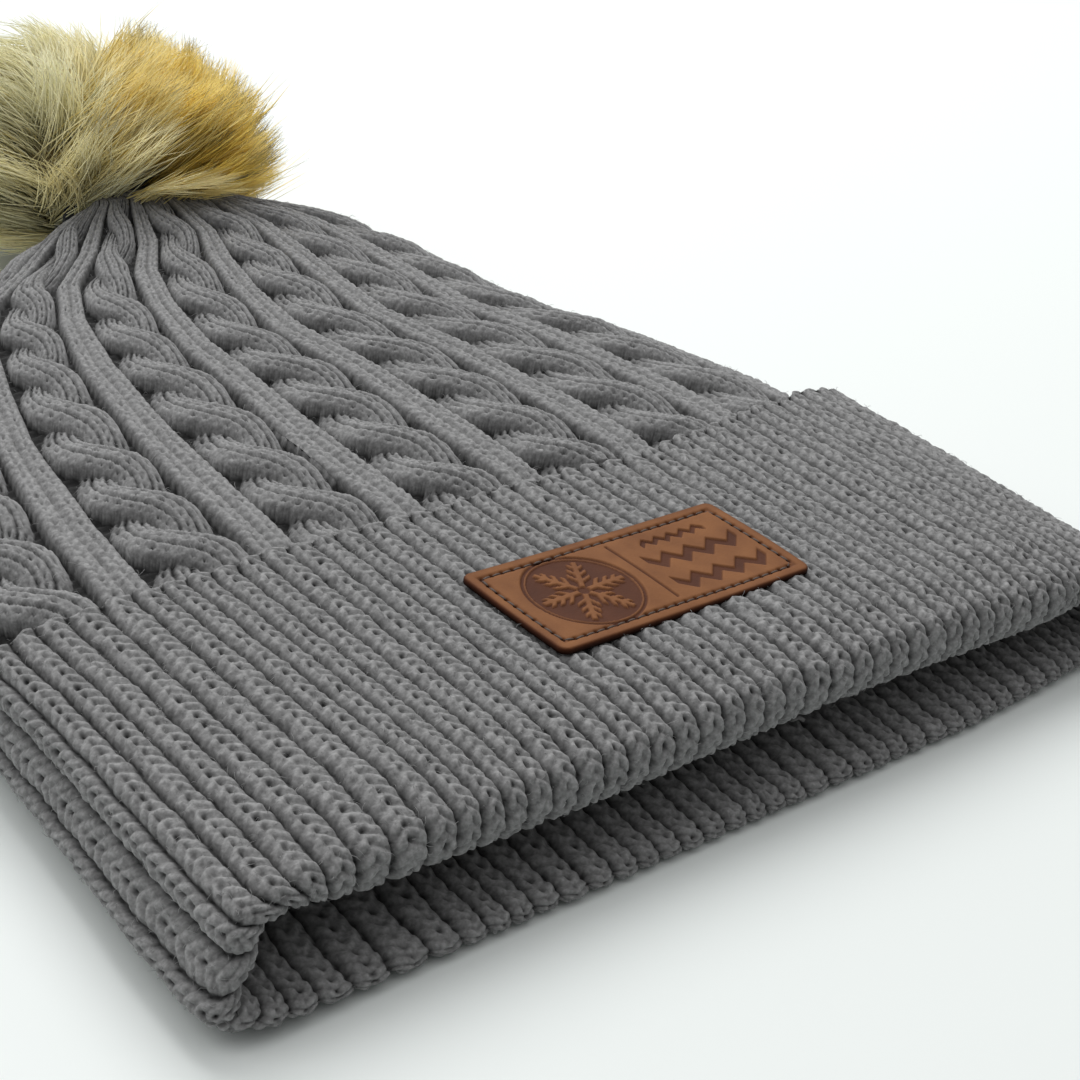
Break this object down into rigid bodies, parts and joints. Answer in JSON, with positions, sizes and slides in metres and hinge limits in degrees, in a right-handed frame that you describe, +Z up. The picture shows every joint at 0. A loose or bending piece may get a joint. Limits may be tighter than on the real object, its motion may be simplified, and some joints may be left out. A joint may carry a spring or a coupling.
{
  "type": "pom pom beanie",
  "caption": "Knitted beanie lying flat: cable-knit crown, turned-up ribbed cuff with a stitched leather patch, and a faux-fur pom on a press snap.",
  "frame": {"origin": "bottom centre of the bounding box: the table under the middle of the hat and its pom", "axes": "+X across the hat, +Y from the mouth to the pom, +Z up from the table it lies on, patch side up"},
  "size_m": [0.218, 0.284, 0.0579],
  "materials": {
    "grey_knit": "soft heather mid-grey acrylic knit, matte and slightly fuzzy",
    "grey_yarn": "matte grey yarn",
    "brown_leather": "smooth matte brown leather, debossed",
    "brown_thread": "dark brown twisted thread",
    "white_satin": "off-white woven satin, blank",
    "dark_felt": "dark grey pressed felt",
    "snap_metal": "nickel-plated pressed steel",
    "pile_backing": "knitted backing cloth of the pile",
    "faux_fur": "long faux-fur pile, cream and golden ochre with grey-brown roots and tips",
    "wadding": "white polyester wadding"
  },
  "bodies": {
    "hat": {"cuff_turn_up": "grey_knit", "cuff_inner_band": "grey_knit", "crown_body": "grey_knit", "cuff_seam_yarn": "grey_yarn", "crown_seam_yarn": "grey_yarn", "leather_patch": "brown_leather", "patch_stitching": "brown_thread", "care_label": "white_satin", "care_label_stitch": "white_satin"},
    "crown_tip": {"crown_tip": "grey_knit", "tip_gather_yarn": "grey_yarn", "tip_felt_washer": "dark_felt"},
    "snap_stud": {"snap_stud": "snap_metal", "snap_cap": "snap_metal"},
    "pom": {"snap_socket": "snap_metal", "snap_spring_ring": "snap_metal", "snap_socket_cap": "snap_metal", "pom_base_disc": "dark_felt", "pom_gather_yarn": "grey_yarn", "pom_backing": "pile_backing", "pom_fur": "faux_fur", "pom_filling": "wadding"}
  },
  "joints": [
    {"name": "pom_lean", "type": "hinge", "parent": "hat", "child": "crown_tip", "pos_m": [0.01, 0.056, 0.0275], "axis": [1, 0, 0], "range_deg": [0, 40]},
    {"name": "pom_spin", "type": "hinge", "parent": "crown_tip", "child": "snap_stud", "pos_m": [0.01, 0.074, 0.0195], "axis": [0, 1, 0], "continuous": true},
    {"name": "pom_pull_off", "type": "slide", "parent": "snap_stud", "child": "pom", "axis": [0, 1, 0], "range_m": [0, 0.04]}
  ]
}
